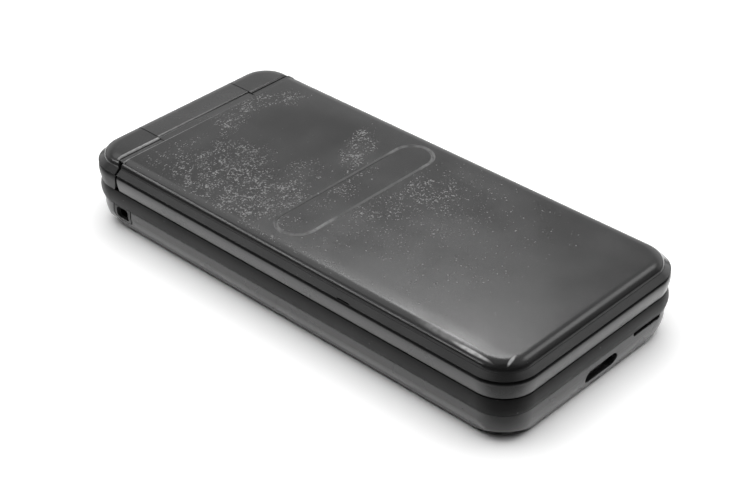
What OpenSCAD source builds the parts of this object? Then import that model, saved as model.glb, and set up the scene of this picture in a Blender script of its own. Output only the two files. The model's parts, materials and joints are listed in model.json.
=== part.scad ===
// Closed clamshell feature phone, lying on its rear cover, hinge towards +Y and free end towards -Y.
// Millimetres, +Z up, origin at the middle of the footprint on the resting face.

/* [Body] */
// Width over the ridge, the widest line of the case
body_w = 51.7; // [51.5:0.1:58]
// Length over the ridge, free end to hinge end
body_l = 113; // [112:0.5:125]
// Plan radius of the four corners at the ridge
corner_r = 7.6; // [7:0.1:9]
// Height of the removable rear cover
rear_h = 6.35; // [6.35:0.05:8]
// Height of the keypad case band above the rear cover
case_h = 3.6; // [3.6:0.05:4.5]
// Height of the lid's display frame band
frame_h = 3.65; // [3.65:0.05:4.5]
// Height of the lid's top cover above the ridge
cover_h = 2.65; // [2.65:0.05:3.5]
// Joint line between two case pieces
seam = 0.1; // [0.05:0.01:0.15]
// Air gap between the closed lid and the base
lid_gap = 0.3; // [0.25:0.01:0.5]
// Wall of the case pieces
wall = 1.1; // [1:0.05:1.3]

/* [Side profile] */
// Inset of the cover's wall, where its sloping flare ends
flare_w = 1.4; // [1:0.05:1.6]
// Height of that flare
flare_h = 0.9; // [0.6:0.05:1.1]
// Inset of the cover's rim, where the flare starts
lip_in = 0.1; // [0.05:0.01:0.2]
// Height of the rim above the parting groove
lip_h = 0.15; // [0.1:0.01:0.25]
// Width of the round between the cover's wall and its flat top
top_round_w = 2.4; // [1.5:0.1:3]
// Depth of the parting groove between lid cover and display frame
part_in = 0.45; // [0.3:0.05:0.5]
// Height of the display frame's round below the parting groove
part_h = 1.2; // [0.8:0.05:1.4]
// Inset of the waist where lid and base meet
waist_in = 0.45; // [0.35:0.05:0.6]
// Inset of the keypad case at its widest
belly_in = 0.05; // [0:0.05:0.2]
// Inset of the keypad case at its lower edge
case_foot_in = 0.5; // [0.4:0.05:0.6]
// Inset of the rear cover at its upper edge
rear_top_in = 0.65; // [0.55:0.05:0.75]
// Inset of the rear cover's sides where their bottom round starts
rear_side_in = 1.85; // [1.7:0.05:2.1]
// Inset of the rear cover's ends where their bottom round starts
rear_end_in = 1.35; // [1.2:0.05:1.6]
// Radius of the round along the rear cover's bottom edge
rear_round = 1.6; // [1.2:0.05:1.8]
// Swell of the rear cover's sides, as a share of their slant
rear_swell = 0.4; // [0.2:0.05:0.5]
// Plan radius that the rear cover's corners reach at the bottom, measured at the ridge
rear_corner = 10.5; // [9:0.1:11]
// Swell of the display frame's side
frame_bulge = 0.06; // [0:0.02:0.1]

/* [Hinge] */
// Distance of the hinge axis from the hinge end
hinge_in = 4.3; // [4.2:0.05:4.4]
// Distance of the hinge axis below the lid's top
hinge_drop = 3.3; // [3.25:0.05:3.4]
// Radius of the barrel's lower half
barrel_r = 4.3; // [4.1:0.05:4.35]
// Half length of the barrel between the two knuckles
barrel_half = 12.6; // [11:0.1:13.5]
// Gap between barrel and knuckle
barrel_gap = 0.2; // [0.15:0.01:0.3]
// Radius of the knuckles on the lid's side of the axis
knuckle_r = 5.75; // [5.6:0.05:5.8]
// Distance of the lid's rear face from the axis
lid_rear = 6.25; // [6.2:0.05:6.4]
// Depth of the groove between barrel and lid cover
groove_depth = 0.22; // [0.2:0.01:0.4]
// Width of that groove
groove_w = 2; // [1.5:0.1:2.2]
// Radius of the round along the front edge of the hinge caps
cap_round = 0.6; // [0.4:0.05:0.8]
// Radius of the round along the edges of the lid cover and the barrel at the hinge
edge_round = 0.18; // [0.1:0.01:0.2]
// Radius of the cam cartridge in the right knuckle
cam_r = 2.3; // [2:0.05:2.4]
// Depth of the cam cartridge's pocket in the knuckle
cam_depth = 7.4; // [6:0.1:7.6]
// Radius of the cam shaft between cartridge and barrel
shaft_r = 1.5; // [1.2:0.05:1.7]
// Radius of the hollow hinge sleeve in the left knuckle
sleeve_r = 2; // [1.8:0.05:2.2]
// Radius of the cable harness through the sleeve
harness_r = 0.8; // [0.6:0.05:1]
// Radial clearance of a turning fit
turn_fit = 0.05; // [0.03:0.01:0.08]

/* [Lid] */
// Distance of the status window's ends from the sides of the lid
pill_side = 5.55; // [5:0.05:12]
// Width of the status window
pill_w = 8.5; // [6:0.1:10]
// Distance of the status window's middle to the right of the middle
pill_x = 0.5; // [0:0.1:0.6]
// Distance of the status window's middle towards the hinge from the middle
pill_y = 4.2; // [0:0.1:8]
// Width of each bevel of the groove round the status window
pill_bevel = 0.4; // [0.3:0.05:0.5]
// Depth of that groove
pill_groove = 0.3; // [0.2:0.05:0.4]
// Distance of the small pry notch from the middle towards the free end
pry_y = 16; // [10:0.5:25]
// Length of the pry notch
pry_l = 3; // [2:0.1:4]
// Height of the pry notch
pry_h = 0.3; // [0.2:0.02:0.4]
// Depth of the pry notch
pry_depth = 0.7; // [0.5:0.05:0.9]
// Distance of the display window from the sides of the lid
window_side = 4.55; // [4.4:0.05:6]
// Distance of the display window from the free end
window_front = 9.4; // [9.3:0.1:14]
// Distance of the display window from the lid's rear face
window_rear = 6.45; // [6:0.05:9]
// Black border beside the display panel
panel_side = 0.8; // [0.5:0.1:2]
// Black border before and behind the display panel
panel_end = 6.5; // [5.5:0.1:9]
// Thickness of the display panel
panel_t = 1.8; // [1.5:0.05:1.9]

/* [Keypad] */
// Distance of the last key row from the free end
keypad_in = 16; // [15.5:0.1:20]
// Space between the outer keys' flanges and the case wall
key_side = 0.85; // [0.4:0.05:2]
// Space between two keys
key_gap = 1.4; // [1.2:0.05:1.5]
// Travel of a key
key_travel = 0.4; // [0.25:0.05:0.45]
// Clearance round a key in its opening
key_fit = 0.2; // [0.15:0.01:0.25]
// Overhang of a key's flange under the keypad face
key_flange = 0.4; // [0.3:0.05:0.45]
// Outer radius of the navigation ring
ring_r = 12.2; // [11:0.1:12.4]
// Radius of the centre key
ok_r = 5.6; // [4.5:0.1:6]
// Distance of the navigation ring's middle from the hinge axis
ring_back = 21.4; // [21:0.1:22]

/* [Power and sockets] */
// Distance of the battery from the sides of the case
battery_side = 6.85; // [6.6:0.05:9]
// Length of the battery
battery_l = 50; // [40:0.5:50]
// Thickness of the battery
battery_t = 4.5; // [3.8:0.1:4.5]
// Width of the opening in the charging socket
usb_w = 8.34; // [8.3:0.01:8.4]
// Height of the opening in the charging socket
usb_h = 2.56; // [2.5:0.01:2.6]
// Distance of the charging socket to the right of the middle
usb_x = 1.6; // [0:0.1:4]
// Height of the charging socket's middle above the resting face
usb_z = 3.5; // [3.45:0.05:3.6]
// Distance of the thumbnail slot's middle from the right side
nail_in = 10.9; // [8:0.05:13]
// Length of the thumbnail slot at the free end
nail_l = 8.2; // [6:0.1:9]
// Distance of the strap eyelet's middle from the hinge end
strap_in = 10.5; // [10:0.1:12]
// Width of the strap eyelet
strap_w = 3.5; // [2.5:0.1:3.6]

/* [Hidden] */
$fn = 64;
half_w = body_w / 2;
half_l = body_l / 2;
// Levels from the resting face up
case_z = rear_h + seam;
base_h = case_z + case_h;
frame_z = base_h + lid_gap;
ridge_z = frame_z + frame_h;
cover_z = ridge_z + seam / 2;
body_h = cover_z + cover_h;
axis_y = half_l - hinge_in;
axis_z = body_h - hinge_drop;
lid_end = axis_y - lid_rear;
knuckle_x = barrel_half + barrel_gap;
// Insides of the pieces
rear_floor = 0.9;
cover_inner_z = body_h - wall;
plate_t = wall;
face_z = base_h - plate_t;
hollow_in = waist_in + wall + 0.45;
// Air between pieces that lie on each other, pieces side by side, and pieces that move
touch = 0.03;
free = 0.1;
air = 0.06;
// Layers of the base, from the battery up
battery_w = body_w - 2 * battery_side;
battery_z = rear_floor + 2 * free;
deck_z = battery_z + battery_t + 2 * free;
deck_t = 0.5;
board_z = deck_z + deck_t + touch;
board_t = 0.7;
dome_z = board_z + board_t;
dome_t = 0.2;
mat_z = dome_z + dome_t + touch;
mat_t = 0.45;
key_flange_z = mat_z + mat_t + key_travel + air;
key_top = base_h - air;
// Layers of the lid, from the display side up
frame_plate = 0.95;
frame_in_z = frame_z + frame_plate;
panel_z = frame_in_z + touch;
bracket_z = panel_z + panel_t + touch;
bracket_t = 0.3;
lid_board_z = bracket_z + bracket_t + touch;
lid_board_t = 0.6;
// Key rows and columns, between the case walls and from the navigation ring to the free end
rows = 5;
ring_y = axis_y - ring_back;
pad_over = 0.7;
pad_r = ring_r + pad_over;
pad_t = 0.2;
pad_z = key_flange_z + touch;
pivot_r = 0.3;
ring_pivot_l = 4;
case_pivot_l = 0.6;
ring_z = pad_z + 2 * pivot_r + touch;
key_corner = 1.6;
flange_w = key_fit + key_flange;
keypad_half = half_w - hollow_in - flange_w - key_side;
keypad_low = keypad_in - half_l;
keypad_top = ring_y - pad_r - flange_w - 2 * free;
key_w = (2 * keypad_half - 2 * key_gap) / 3;
key_d = (keypad_top - keypad_low - (rows - 1) * key_gap) / rows;
col_pitch = key_w + key_gap;
row_pitch = key_d + key_gap;
call_y = keypad_top - key_d / 2;
soft_side = 1.55;
soft_w = half_w - hollow_in - pad_r - 2 * flange_w - 2 * free - soft_side;
soft_x = half_w - hollow_in - flange_w - 2 * free - soft_w / 2;
soft_d = 8.6;
soft_y = [ring_y + (soft_d + key_gap) / 2, ring_y - (soft_d + key_gap) / 2];
// Cables and pivots along the hinge axis
harness_in = 6.85;
harness_bore = harness_r + 2 * free;
harness_drop = half_w - harness_in;
harness_end = harness_drop + harness_r;
sleeve_x = harness_drop - harness_bore - 2 * free;
sleeve_in = 4.5;
shaft_in = 6.5;
shaft_end = 2.5;
lid_lead_x = -2;
lid_lead_z = lid_board_z - harness_r - touch;
barrel_air = 0.25;
// Hinge caps' front round: its middle along Y and the height where it meets the knuckle
cap_y = axis_y - sqrt(pow(knuckle_r - cap_round, 2) - pow(hinge_drop - cap_round, 2));
cap_low = axis_z + (hinge_drop - cap_round) * knuckle_r / (knuckle_r - cap_round);
// Ledge of the lid cover in front of the hinge caps
ledge_side = 2.2;
ledge_air = 0.3;
// Screws
screw_r = 0.8;
head_r = 1.5;
head_h = 0.8;
boss_r = 2.2;
screw_in = 6;
knuckle_screw_in = 1.8;
lid_screw_xy = [
    [half_w - screw_in, screw_in + 0.8 - half_l],
    [half_w - hollow_in - boss_r - 1, lid_end - wall - boss_r - 0.7]
];
base_screw_xy = [
    [half_w - screw_in, screw_in + 1 - half_l],
    [harness_drop - harness_bore - boss_r - 0.8, axis_y - knuckle_screw_in]
];
// Rubber bumpers over the lid screws
bumper_r = 2;
bumper_h = 0.65;
bumper_sink = 0.45;
// Lid contents
cover_in = flare_w + wall;
lid_boss_top = ridge_z - 0.8;
window_w = body_w - 2 * window_side;
window_l = lid_end - window_rear - window_front + half_l;
window_y = lid_end - window_rear - window_l / 2;
panel_w = window_w - 2 * panel_side;
panel_l = window_l - 2 * panel_end;
window_t = 0.5;
window_corner = 2;
earpiece_size = [14, 6, 2];
earpiece_y = hollow_in + earpiece_size[1] / 2 + 1.2 - half_l;
magnet_size = [5, 4, 1.6];
magnet_x = earpiece_size[0] / 2 + 1;
lid_board_w = 30;
lid_board_l = 48;
pill_l = body_w - 2 * pill_side;
pill_r = pill_w / 2;
pill_flange = 0.8;
pill_flange_t = 0.35;
lid_board_end = lid_end - 3.8;
// Chassis inside the rear cover
chassis_in = rear_top_in + wall + 0.4;
rim_t = 0.8;
rim_top = case_z + 0.8;
well_gap = 0.25;
well_t = 0.8;
under_deck = deck_z - touch;
// Pieces under the deck, from the hinge end to the free end
bay_gap = 0.8;
bay_end = base_screw_xy[1][1] - head_r - bay_gap / 2;
speaker_size = [16, 11, 3.2];
bay_x = half_w - 13.35;
speaker_xy = [bay_x, bay_end - speaker_size[1] / 2];
card_size = [14, 11, 1.35];
card_x = bay_x - card_size[0] / 2;
card_y = bay_end - speaker_size[1] - bay_gap - card_size[1];
camera_size = 9;
camera_xy = [-bay_x, bay_end - 8];
camera_body_z = 2.4;
lens_r = 3;
motor_r = 2;
motor_l = 10;
motor_x = -2;
shield_z = deck_z - 0.9;
shield_a = [
    [-bay_x - camera_size / 2, card_y],
    [card_x - 4.5, camera_xy[1] - camera_size / 2 - 2]
];
well_end = card_y - bay_gap;
battery_y = well_end - well_t - well_gap - battery_l / 2;
well_front = battery_y - battery_l / 2 - well_gap - well_t;
contact_w = 9.6;
// Main board
board_half = half_w - chassis_in - rim_t - 2 * free;
board_edge = 2.2;
board_front = base_screw_xy[0][1] + boss_r + 2 * free;
board_rear = base_screw_xy[1][1] - boss_r - 2 * free;
board_nose = base_screw_xy[0][0] - boss_r - 2 * free;
mic_y = 8.5 - half_l;
mic_r = 2;
// Strap eyelet in the chassis tab
strap_y = half_l - strap_in;
strap_rim = 0.7;
strap_tab = strap_w + 2 * strap_rim;
strap_hole = [3.35, 6];
strap_tab_z = strap_hole[0] - strap_rim;
strap_tab_r = 1.4;
strap_tab_gap = 0.28;
strap_tab_in = 1.7;
strap_bar_x = 4.4 - half_w;
strap_bar_r = 0.6;
// Charging socket and thumbnail slot
usb_shell = 0.3;
usb_clear = 0.2;
usb_front = 2.45 - half_l;
usb_l = 7.3;
usb_top = usb_z + usb_h / 2 + usb_shell;
usb_board_w = 22;
usb_board_l = 9;
tongue = [6.69, 0.7];
usb_board_y = usb_front + 0.4;
nail_x = half_w - nail_in;
nail_r = 0.37;
nail_rim = 0.15;
// Rear cover's top edge, and the heights between which its corners lose their extra roundness
rear_edge = [0.25, 0.6];
rear_edge_z = rear_h - rear_edge[1];
relief_z = [0.6, 2.8];
// Between the battery and the free end
shield_w = 11.5;
shield_b = [
    [board_half - board_edge - shield_w, usb_board_y + usb_board_l + bay_gap],
    [board_half - board_edge, well_front - bay_gap]
];
antenna_x = board_edge - board_half;
antenna_w = usb_x - usb_board_w / 2 - bay_gap - antenna_x;
antenna_t = 1;
antenna_y = base_screw_xy[0][1] + head_r + bay_gap;
antenna_l = well_front - bay_gap - antenna_y;
// Openings in the rear cover's floor
camera_glass_r = 4.1;
camera_glass_t = 0.36;
sound_slot = [9, 0.9];
sound_pitch = 1.8;

// Side profiles: lists of [inset from the ridge outline, height], lowest point first

function blend_in(low, high, bulge, t) = low + (high - low) * t - bulge * 4 * t * (1 - t);

function rear_profile(foot_in) = concat(
    [for (k = [0 : 5]) let (t = 90 - 18 * k)
        [foot_in + rear_round * (1 - cos(t)), rear_round * (1 - sin(t))]],
    [for (k = [1 : 5]) let (t = k / 6)
        [blend_in(foot_in, rear_top_in, rear_swell * (foot_in - rear_top_in), t),
         rear_round + (rear_edge_z - rear_round) * t]],
    [for (k = [0 : 3]) let (t = 30 * k)
        [rear_top_in + rear_edge[0] * (1 - cos(t)), rear_edge_z + rear_edge[1] * sin(t)]]
);

function rear_inside(foot_in) = concat(
    [[foot_in + wall + 0.3, rear_floor]],
    [for (p = rear_profile(foot_in)) if (p[1] > rear_floor && p[1] < rear_edge_z) [p[0] + wall, p[1]]],
    straight(rear_top_in + wall, rear_edge_z, rear_h + 1)
);

function case_profile() = [for (k = [0 : 8]) let (t = k / 8, middle = (case_foot_in + waist_in) / 2)
    [blend_in(case_foot_in, waist_in, middle - belly_in, t), case_z + case_h * t]];

function frame_profile(low) = let (widest = ridge_z - part_h) concat(
    [for (k = [0 : 3]) let (t = k / 4) [blend_in(waist_in, 0, frame_bulge, t), low + (widest - low) * t]],
    [for (k = [0 : 5]) let (t = 18 * k) [part_in * (1 - cos(t)), widest + part_h * sin(t)]]
);

function cover_profile() = let (rim_z = cover_z + lip_h, wall_z = rim_z + flare_h) concat(
    [[part_in, cover_z], [lip_in, rim_z], [flare_w, wall_z]],
    [for (k = [1 : 6]) let (t = 15 * k)
        [flare_w + top_round_w * (1 - cos(t)), wall_z + (body_h - wall_z) * sin(t)]]
);

function straight(inset, low, high) = [[inset, low], [inset, high]];

// Section of the phone with both of its sides following a profile
function section(half, profile) = concat(
    [for (p = profile) [half - p[0], p[1]]],
    [for (k = [len(profile) - 1 : -1 : 0]) [profile[k][0] - half, profile[k][1]]]
);

// Solid whose plan is the rounded outline of the phone and whose sides follow a profile
module swept(profile) {
    low = profile[0][1];
    high = profile[len(profile) - 1][1];
    corner = concat([[0, low]], [for (p = profile) [corner_r - p[0], p[1]]], [[0, high]]);
    rotate([90, 0, 0]) linear_extrude(height = 2 * (half_l - corner_r), center = true)
        polygon(section(half_w, profile));
    rotate([90, 0, 90]) linear_extrude(height = 2 * (half_w - corner_r), center = true)
        polygon(section(half_l, profile));
    for (turn = [0 : 3]) {
        sx = turn == 0 || turn == 3 ? 1 : -1;
        sy = turn < 2 ? 1 : -1;
        translate([sx * (half_w - corner_r), sy * (half_l - corner_r), 0])
            rotate(90 * turn) rotate_extrude(angle = 90) polygon(corner);
    }
}

// Solid with one profile along the sides and another at the ends, its corners rounder towards the bottom
module rear_body(side, end) {
    low = side[0];
    high = side[len(side) - 1];
    lean = rear_side_in - rear_end_in;
    slack = 0.03;
    relief = (rear_corner - corner_r) * (sqrt(2) - 1) + 0.1;
    function corner_x(p) = rear_corner - p[0] + slack
        + relief * max(0, min(1, (p[1] - relief_z[0]) / (relief_z[1] - relief_z[0])));
    difference() {
        intersection() {
            swept(end);
            rotate([90, 0, 0]) linear_extrude(height = body_l + 2, center = true)
                polygon(section(half_w, concat([low - [0, 1]], side, [high + [0, 1]])));
        }
        for (flip_x = [0, 1]) for (flip_y = [0, 1]) mirror([flip_x, 0, 0]) mirror([0, flip_y, 0])
            translate([half_w - rear_corner, half_l - rear_corner + lean, 0]) difference() {
                box([0, 0, low[1] - 1], [rear_corner + 1, rear_corner + 1, high[1] + 1]);
                rotate_extrude() polygon(concat(
                    [[0, low[1] - 2], [corner_x(low), low[1] - 2]],
                    [for (p = side) [corner_x(p), p[1]]],
                    [[corner_x(high), high[1] + 2], [0, high[1] + 2]]
                ));
            }
    }
}

// Box given by two opposite corners
module box(a, b) {
    translate(a) cube(b - a);
}

// Cutter that rounds the top edge along X which faces the hinge (turn 0) or the free end (turn 180)
module top_edge_cut(y, turn) translate([0, y, body_h]) rotate(turn) difference() {
    box([-half_w - 1, -edge_round, -edge_round], [half_w + 1, 1, 1]);
    translate([-half_w - 2, -edge_round, -edge_round]) rotate([0, 90, 0])
        cylinder(r = edge_round, h = body_w + 4);
}

module mirrored() {
    for (flip = [0, 1]) mirror([flip, 0, 0]) children();
}

// Cylinder along the hinge axis from one X to another
module on_axis(r, x0, x1) {
    translate([x0, axis_y, axis_z]) rotate([0, 90, 0]) cylinder(r = r, h = x1 - x0);
}

module rounded(w, d, r) {
    square([w - 2 * r, d], center = true);
    square([w, d - 2 * r], center = true);
    for (sx = [-1, 1]) for (sy = [-1, 1])
        translate([sx * (w / 2 - r), sy * (d / 2 - r)]) circle(r = r);
}

// Rounded bar lying along X in plan, straight sided or bevelled from r0 below to r1 above
module pill(length, r0, r1, h) {
    run = length / 2 - max(r0, r1);
    for (side = [-1, 1]) translate([side * run, 0, 0]) cylinder(r1 = r0, r2 = r1, h = h);
    rotate([90, 0, 90]) linear_extrude(height = 2 * run, center = true)
        polygon([[-r0, 0], [r0, 0], [r1, h], [-r1, h]]);
}

module knuckle_zone(side) {
    intersection() {
        union() {
            on_axis(knuckle_r, -half_w, half_w);
            box([-half_w, axis_y, 0], [half_w, half_l, body_h + 1]);
        }
        mirror([side < 0 ? 1 : 0, 0, 0]) box([knuckle_x, 0, 0], [half_w + 1, half_l + 1, body_h + 1]);
    }
}

// Pockets on the hinge axis: cam cartridge on the right, sleeve and harness on the left
module knuckle_bores() {
    on_axis(cam_r, knuckle_x - 1, knuckle_x + cam_depth);
    on_axis(sleeve_r + turn_fit, -sleeve_x - free, -knuckle_x + 1);
    on_axis(harness_bore, -harness_end - free, -sleeve_x);
    translate([-harness_drop, axis_y, board_z]) cylinder(r = harness_bore, h = axis_z - board_z);
}

module lid_cover() color("#2c2c2e") {
    difference() {
        swept(cover_profile());
        box([-half_w - 1, lid_end, cover_z - 1], [half_w + 1, half_l + 1, body_h + 1]);
        intersection() {
            swept(straight(cover_in, cover_z - 1, cover_inner_z));
            box([-half_w, -half_l, cover_z - 2], [half_w, lid_end - wall, body_h]);
        }
        translate([pill_x, pill_y, cover_inner_z - 1])
            pill(pill_l + 2 * touch, pill_r + touch, pill_r + touch, wall + 2);
        translate([pill_x, pill_y, body_h - pill_groove])
            pill(pill_l + 4 * pill_bevel, pill_r, pill_r + 2 * pill_bevel, 2 * pill_groove);
        box([-half_w - 1, -pry_y - pry_l, cover_z - 1], [pry_depth - half_w, -pry_y, cover_z + pry_h]);
        top_edge_cut(lid_end, 0);
    }
    mirrored() difference() {
        box([knuckle_x, lid_end - wall / 2, cover_z],
            [half_w - ledge_side, lid_end + groove_w, body_h - groove_depth]);
        on_axis(knuckle_r + ledge_air, -half_w, half_w);
    }
    mirrored() for (p = lid_screw_xy) translate([p[0], p[1], lid_boss_top + touch]) difference() {
        cylinder(r = boss_r - 0.2, h = cover_inner_z + 0.2 - lid_boss_top);
        translate([0, 0, -1]) cylinder(r = screw_r, h = cover_inner_z - lid_boss_top + 0.2);
    }
}

module status_window() color("#262628") translate([pill_x, pill_y, 0]) {
    flange_z = cover_inner_z - touch - pill_flange_t;
    shoulder_z = body_h - pill_groove;
    translate([0, 0, flange_z])
        pill(pill_l + 2 * pill_flange, pill_r + pill_flange, pill_r + pill_flange, pill_flange_t);
    translate([0, 0, flange_z]) pill(pill_l, pill_r, pill_r, shoulder_z - flange_z);
    translate([0, 0, shoulder_z]) pill(pill_l, pill_r, pill_r - pill_bevel, pill_groove - touch);
}

module barrel() {
    difference() {
        intersection() {
            swept(concat(frame_profile(frame_z - 1.5), cover_profile()));
            union() {
                on_axis(barrel_r, -barrel_half, barrel_half);
                box([-barrel_half, lid_end + groove_w, axis_z], [barrel_half, axis_y + 1.6, body_h]);
                box([-barrel_half, lid_end - wall, frame_in_z], [barrel_half, axis_y, ridge_z]);
                box([-barrel_half, lid_end + touch, axis_z],
                    [barrel_half, axis_y, body_h - groove_depth]);
            }
        }
        top_edge_cut(lid_end + groove_w, 180);
        on_axis(sleeve_r, -barrel_half - 1, sleeve_in - barrel_half);
        on_axis(harness_bore, sleeve_in - barrel_half - 1, lid_lead_x + harness_bore);
        on_axis(shaft_r, barrel_half - shaft_in, barrel_half + 1);
        translate([lid_lead_x, axis_y, lid_lead_z]) rotate([90, 0, 0])
            cylinder(r = harness_bore, h = axis_y - lid_end + wall + 1);
    }
}

module lid_frame() color("#38383a") {
    difference() {
        intersection() {
            swept(frame_profile(frame_z));
            box([-half_w, -half_l, 0], [half_w, lid_end, body_h]);
        }
        intersection() {
            swept(straight(hollow_in, frame_in_z, ridge_z + 1));
            box([-half_w, -half_l, 0], [half_w, lid_end - wall, body_h]);
        }
        translate([0, window_y, frame_z - 1]) linear_extrude(height = 1 + window_t + 2 * touch)
            rounded(window_w + 2 * free, window_l + 2 * free, window_corner);
        box([-panel_w / 2 + 1, window_y - panel_l / 2 + 1, frame_z],
            [panel_w / 2 - 1, window_y + panel_l / 2 - 1, frame_in_z + 1]);
        translate([0, earpiece_y, frame_z - 1]) pill(earpiece_size[0] - 4, 0.6, 0.6, 3);
        translate([lid_lead_x, axis_y, lid_lead_z]) rotate([90, 0, 0])
            cylinder(r = harness_bore, h = axis_y - lid_end + wall + 1);
        mirrored() for (p = lid_screw_xy) translate([p[0], p[1], frame_z - 1]) {
            cylinder(r = bumper_r + free, h = 1 + bumper_sink + touch);
            cylinder(r = head_r + free, h = 3);
        }
    }
    mirrored() for (p = lid_screw_xy) translate([p[0], p[1], frame_in_z - 0.1]) difference() {
        cylinder(r = boss_r + 0.2, h = lid_boss_top - frame_in_z + 0.1);
        translate([0, 0, -1]) cylinder(r = screw_r + free, h = 5);
        translate([0, 0, -1])
            cylinder(r = head_r + free, h = 1.1 + bumper_sink + head_h + touch - frame_plate);
    }
    barrel();
}

module display_window() color("#101114") {
    translate([0, window_y, frame_z + touch]) linear_extrude(height = window_t)
        rounded(window_w, window_l, window_corner);
}

module display_panel() color("#1b2230") {
    translate([-panel_w / 2, window_y - panel_l / 2, panel_z]) cube([panel_w, panel_l, panel_t]);
}

module display_bracket() color("silver") {
    margin = 0.6;
    translate([-panel_w / 2 - margin, window_y - panel_l / 2 - margin, bracket_z])
        cube([panel_w + 2 * margin, panel_l + 2 * margin, bracket_t]);
}

module lid_board() color("darkgreen") {
    translate([-lid_board_w / 2, lid_board_end - lid_board_l, lid_board_z])
        cube([lid_board_w, lid_board_l, lid_board_t]);
}

module status_panel() color("#14161a") {
    low = lid_board_z + lid_board_t + touch;
    high = cover_inner_z - pill_flange_t - 2 * touch;
    translate([pill_x, pill_y, 0])
        box([-pill_l / 2 + 3, -pill_r + 1, low], [pill_l / 2 - 3, pill_r - 1, high]);
}

module earpiece() color("gray") {
    translate([0, earpiece_y, frame_in_z + touch]) linear_extrude(height = earpiece_size[2])
        rounded(earpiece_size[0], earpiece_size[1], 1);
}

module lid_magnet() color("silver") {
    translate([magnet_x, earpiece_y - magnet_size[1] / 2, frame_in_z + touch])
        cube(magnet_size);
}

module lid_bumpers() color("#1d1d1f") {
    mirrored() for (p = lid_screw_xy) translate([p[0], p[1], frame_z + bumper_sink - bumper_h])
        cylinder(r = bumper_r, h = bumper_h);
}

module screw(head_z, tip_z) {
    translate([0, 0, head_z]) cylinder(r = head_r, h = head_h);
    translate([0, 0, head_z]) cylinder(r = screw_r, h = tip_z - head_z);
}

module lid_screws() color("silver") {
    mirrored() for (p = lid_screw_xy) translate([p[0], p[1], 0])
        screw(frame_z + bumper_sink + touch, cover_inner_z - 0.9);
}

module hinge_sleeve() color("silver") difference() {
    on_axis(sleeve_r, -sleeve_x, sleeve_in - barrel_half);
    on_axis(harness_bore, -sleeve_x - 1, sleeve_in - barrel_half + 1);
}

module hinge_cam_shaft() color("silver") {
    on_axis(shaft_r, barrel_half - shaft_in, knuckle_x + cam_depth - shaft_end);
}

module harness_lid() color("#202020") {
    on_axis(harness_r, -sleeve_x, lid_lead_x);
    translate([lid_lead_x, axis_y, lid_lead_z]) rotate([90, 0, 0])
        cylinder(r = harness_r, h = axis_y - lid_board_end + 1);
}

module keypad_case() color("#303032") difference() {
    union() {
        difference() {
            swept(case_profile());
            swept(straight(hollow_in, case_z - 1, face_z));
        }
        mirrored() for (p = base_screw_xy) translate([p[0], p[1], deck_z + deck_t + touch])
            cylinder(r = boss_r, h = face_z + 0.2 - deck_z - deck_t);
        box([-knuckle_x - 0.6, axis_y - 4, face_z - 1],
            [knuckle_x + 0.6, half_l - hollow_in + 0.2, face_z + 0.2]);
        for (side = [-1, 1]) intersection() {
            swept(concat([[waist_in + 0.3, base_h - 0.4]], frame_profile(base_h)));
            knuckle_zone(side);
        }
    }
    on_axis(barrel_r + barrel_air, -knuckle_x, knuckle_x);
    knuckle_bores();
    key_openings();
    translate([0, mic_y, face_z - 1]) cylinder(r = 0.7, h = 3);
    mirrored() for (p = base_screw_xy) translate([p[0], p[1], deck_z]) cylinder(r = screw_r, h = 3);
}

module hinge_cap(side) color("#2c2c2e") difference() {
    intersection() {
        swept(cover_profile());
        knuckle_zone(side);
        union() {
            box([-half_w - 1, cap_y, 0], [half_w + 1, half_l + 1, body_h + 1]);
            box([-half_w - 1, 0, 0], [half_w + 1, half_l + 1, cap_low]);
            translate([-half_w - 1, cap_y, body_h - cap_round]) rotate([0, 90, 0])
                cylinder(r = cap_round, h = body_w + 2);
        }
    }
    knuckle_bores();
}

module hinge_cam_case() color("gray") difference() {
    on_axis(cam_r, knuckle_x, knuckle_x + cam_depth);
    on_axis(shaft_r + turn_fit, knuckle_x - 1, knuckle_x + cam_depth - shaft_end + 0.5);
}

module harness_base() color("#202020") {
    on_axis(harness_r, -harness_end, -sleeve_x - free);
    translate([-harness_drop, axis_y, dome_z + touch]) cylinder(r = harness_r, h = axis_z - dome_z);
}

// Two plan corners of a box between two heights, grown by a margin
module slab(corners, margin, low, high) {
    box([corners[0][0] - margin, corners[0][1] - margin, low],
        [corners[1][0] + margin, corners[1][1] + margin, high]);
}

// Block with the outline of the strap tab, round at its lower corners, grown by a gap
module strap_outline(gap) {
    top = rear_h + 2 * strap_tab_r;
    low = strap_tab_z - gap;
    translate([-half_w + 1.5, strap_y, (top + low) / 2]) rotate([90, 0, 90])
        linear_extrude(height = 5, center = true)
        rounded(strap_tab + 2 * gap, top - low, strap_tab_r + gap);
}

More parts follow.
